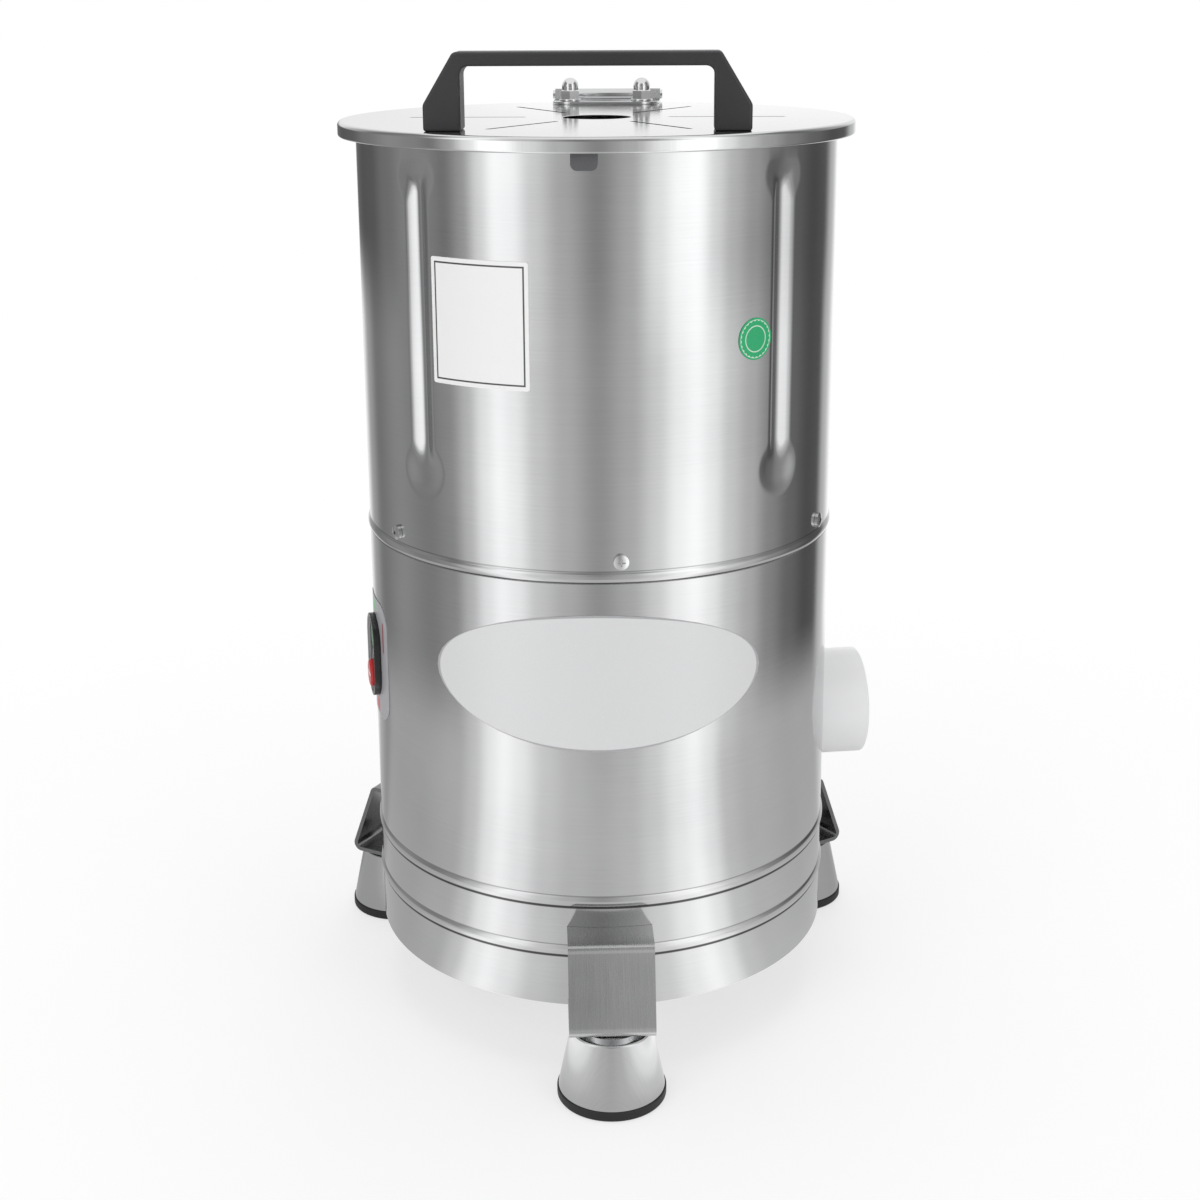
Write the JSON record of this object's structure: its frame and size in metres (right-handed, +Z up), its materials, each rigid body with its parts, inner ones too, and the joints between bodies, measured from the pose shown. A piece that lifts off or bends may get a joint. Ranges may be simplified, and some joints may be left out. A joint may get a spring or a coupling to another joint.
{
  "type": "upright vegetable peeler",
  "caption": "Upright vegetable peeler: an abrasive disc turns in the floor of a steel drum over a drain tray and belt drive, under a hinged lid, on conical feet.",
  "frame": {"origin": "on the floor, at the centre of the part's bounding box seen from above; the drum's axis is 3.1 mm to the right of it and 17.3 mm behind it", "axes": "+Z up, -Y the front with the front leg and the oval plate, +X the side of the waste outlet"},
  "size_m": [0.3874, 0.3928, 0.6533],
  "materials": {
    "housing_steel": "satin",
    "drum_steel": "polished",
    "lid_steel": "polished",
    "tray_steel": "satin",
    "plate_steel": "mill",
    "cover_steel": "satin",
    "bracket_steel": "brushed",
    "cone_steel": "polished",
    "hinge_steel": "satin",
    "pin_steel": "satin",
    "fastener_steel": "bright",
    "nut_steel": "bright",
    "shaft_steel": "ground",
    "bearing_steel": "ground",
    "spindle_iron": "painted",
    "motor_bell": "cast",
    "motor_paint": "satin",
    "copper_winding": "lacquered",
    "disc_aluminium": "cast",
    "pulley_aluminium": "turned",
    "capacitor_can": "plain",
    "grit": "coarse grit",
    "white_pvc": "satin",
    "drain_pvc": "satin",
    "gland_plastic": "moulded",
    "box_plastic": "moulded",
    "switch_plastic": "moulded",
    "handle_plastic": "moulded",
    "tab_plastic": "moulded",
    "start_green": "moulded",
    "stop_red": "moulded",
    "panel_film": "printed film",
    "badge_film": "printed film",
    "label_film": "printed film",
    "sticker_film": "printed film",
    "belt_rubber": "matt",
    "seal_rubber": "matt",
    "foot_rubber": "matt"
  },
  "bodies": {
    "peeler": {"lower_housing": "housing_steel", "chamber_drum": "drum_steel", "drum_screws": "fastener_steel", "drain_tray": "tray_steel", "drain_elbow": "drain_pvc", "outlet_pipe": "white_pvc", "motor_plate": "plate_steel", "spindle_housing": "spindle_iron", "spindle_bolts": "fastener_steel", "upper_bearing": "bearing_steel", "lower_bearing": "bearing_steel", "shaft_seal": "seal_rubber", "motor_shell": "motor_paint", "motor_stator": "copper_winding", "motor_lower_bell": "motor_bell", "motor_upper_bell": "motor_bell", "motor_bolts": "fastener_steel", "terminal_box": "box_plastic", "capacitor": "capacitor_can", "drive_belt": "belt_rubber", "bottom_cover": "cover_steel", "cover_screws": "fastener_steel", "leg_front": "bracket_steel", "leg_left": "bracket_steel", "leg_right": "bracket_steel", "cone_front": "cone_steel", "cone_left": "cone_steel", "cone_right": "cone_steel", "ring_front": "foot_rubber", "ring_left": "foot_rubber", "ring_right": "foot_rubber", "foot_washers": "foot_rubber", "foot_bolts": "fastener_steel", "cable_gland": "gland_plastic", "switch_panel": "panel_film", "switch_body": "switch_plastic", "badge_plate": "badge_film", "info_label": "label_film", "round_sticker": "sticker_film", "hinge_bracket": "hinge_steel", "bracket_screws": "fastener_steel", "hinge_pin": "pin_steel"},
    "lid": {"lid_disc": "lid_steel", "lid_handle": "handle_plastic", "handle_screws": "fastener_steel", "lid_tab": "tab_plastic", "hinge_leaf": "hinge_steel", "leaf_bolts": "fastener_steel", "cap_nuts": "nut_steel"},
    "disc": {"drive_shaft": "shaft_steel", "disc_hub": "spindle_iron", "peeling_disc": "disc_aluminium", "abrasive_pad": "grit", "disc_nut": "nut_steel", "driven_pulley": "pulley_aluminium"},
    "rotor": {"motor_rotor": "shaft_steel", "motor_pulley": "pulley_aluminium"},
    "start": {"start_button": "start_green"},
    "stop": {"stop_button": "stop_red"}
  },
  "joints": [
    {"name": "lid_hinge", "type": "hinge", "parent": "peeler", "child": "lid", "pos_m": [0.00314, 0.19181, 0.61185], "axis": [-1, 0, 0], "range_deg": [0, 100]},
    {"name": "disc_spin", "type": "hinge", "parent": "peeler", "child": "disc", "pos_m": [0.00314, 0.01731, 0.3293], "axis": [0, 0, 1], "continuous": true},
    {"name": "motor_spin", "type": "hinge", "parent": "peeler", "child": "rotor", "pos_m": [-0.02067, 0.10618, 0.15], "axis": [0, 0, 1], "continuous": true},
    {"name": "start_button_press", "type": "slide", "parent": "peeler", "child": "start", "axis": [0.9578, 0.2874, 0], "range_m": [0, 0.003], "stiffness_N_per_m": 600, "springref_m": -0.001},
    {"name": "stop_button_press", "type": "slide", "parent": "peeler", "child": "stop", "axis": [0.9578, 0.2874, 0], "range_m": [0, 0.003], "stiffness_N_per_m": 600, "springref_m": -0.001}
  ],
  "couplings": [
    {"joint": "motor_spin", "follows": "disc_spin", "ratio": 3}
  ]
}
